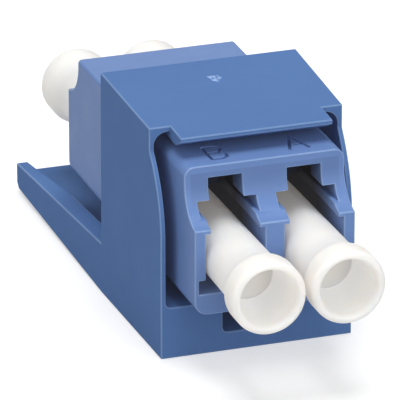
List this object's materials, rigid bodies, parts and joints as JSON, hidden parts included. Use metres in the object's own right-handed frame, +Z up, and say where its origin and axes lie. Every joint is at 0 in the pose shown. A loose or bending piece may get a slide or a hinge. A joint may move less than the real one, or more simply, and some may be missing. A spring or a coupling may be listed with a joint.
{
  "type": "lc fibre adapter",
  "caption": "Snap-in faceplate module with a duplex LC fibre adapter and push-in dust caps in all its ports.",
  "frame": {"origin": "on the flat underside of the shell, midway between the two ports and below the plane where the fibres meet", "axes": "+Z up; +Y along the fibre axes from the front ports, beside the lip, to the rear ports, over the arm; +X to the right seen from the front"},
  "size_m": [0.016, 0.0474, 0.0183],
  "materials": {
    "shell_plastic": "fine matte moulded ABS, mid blue",
    "adapter_plastic": "satin moulded PBT, mid blue",
    "sleeve_ceramic": "polished zirconia ceramic, off-white",
    "cap_plastic": "soft semi-matte polyethylene, warm white"
  },
  "bodies": {
    "module": {"module_shell": "shell_plastic", "adapter_front_half": "adapter_plastic", "adapter_rear_half": "adapter_plastic", "alignment_sleeve_left": "sleeve_ceramic", "alignment_sleeve_right": "sleeve_ceramic"},
    "cap_front_left": {"dust_cap_front_left": "cap_plastic"},
    "cap_front_right": {"dust_cap_front_right": "cap_plastic"},
    "cap_rear_left": {"dust_cap_rear_left": "cap_plastic"},
    "cap_rear_right": {"dust_cap_rear_right": "cap_plastic"}
  },
  "joints": [
    {"name": "cap_front_left_pull", "type": "slide", "parent": "module", "child": "cap_front_left", "axis": [0, -1, 0], "range_m": [0, 0.016]},
    {"name": "cap_front_right_pull", "type": "slide", "parent": "module", "child": "cap_front_right", "axis": [0, -1, 0], "range_m": [0, 0.016]},
    {"name": "cap_rear_left_pull", "type": "slide", "parent": "module", "child": "cap_rear_left", "axis": [0, 1, 0], "range_m": [0, 0.016]},
    {"name": "cap_rear_right_pull", "type": "slide", "parent": "module", "child": "cap_rear_right", "axis": [0, 1, 0], "range_m": [0, 0.016]}
  ]
}
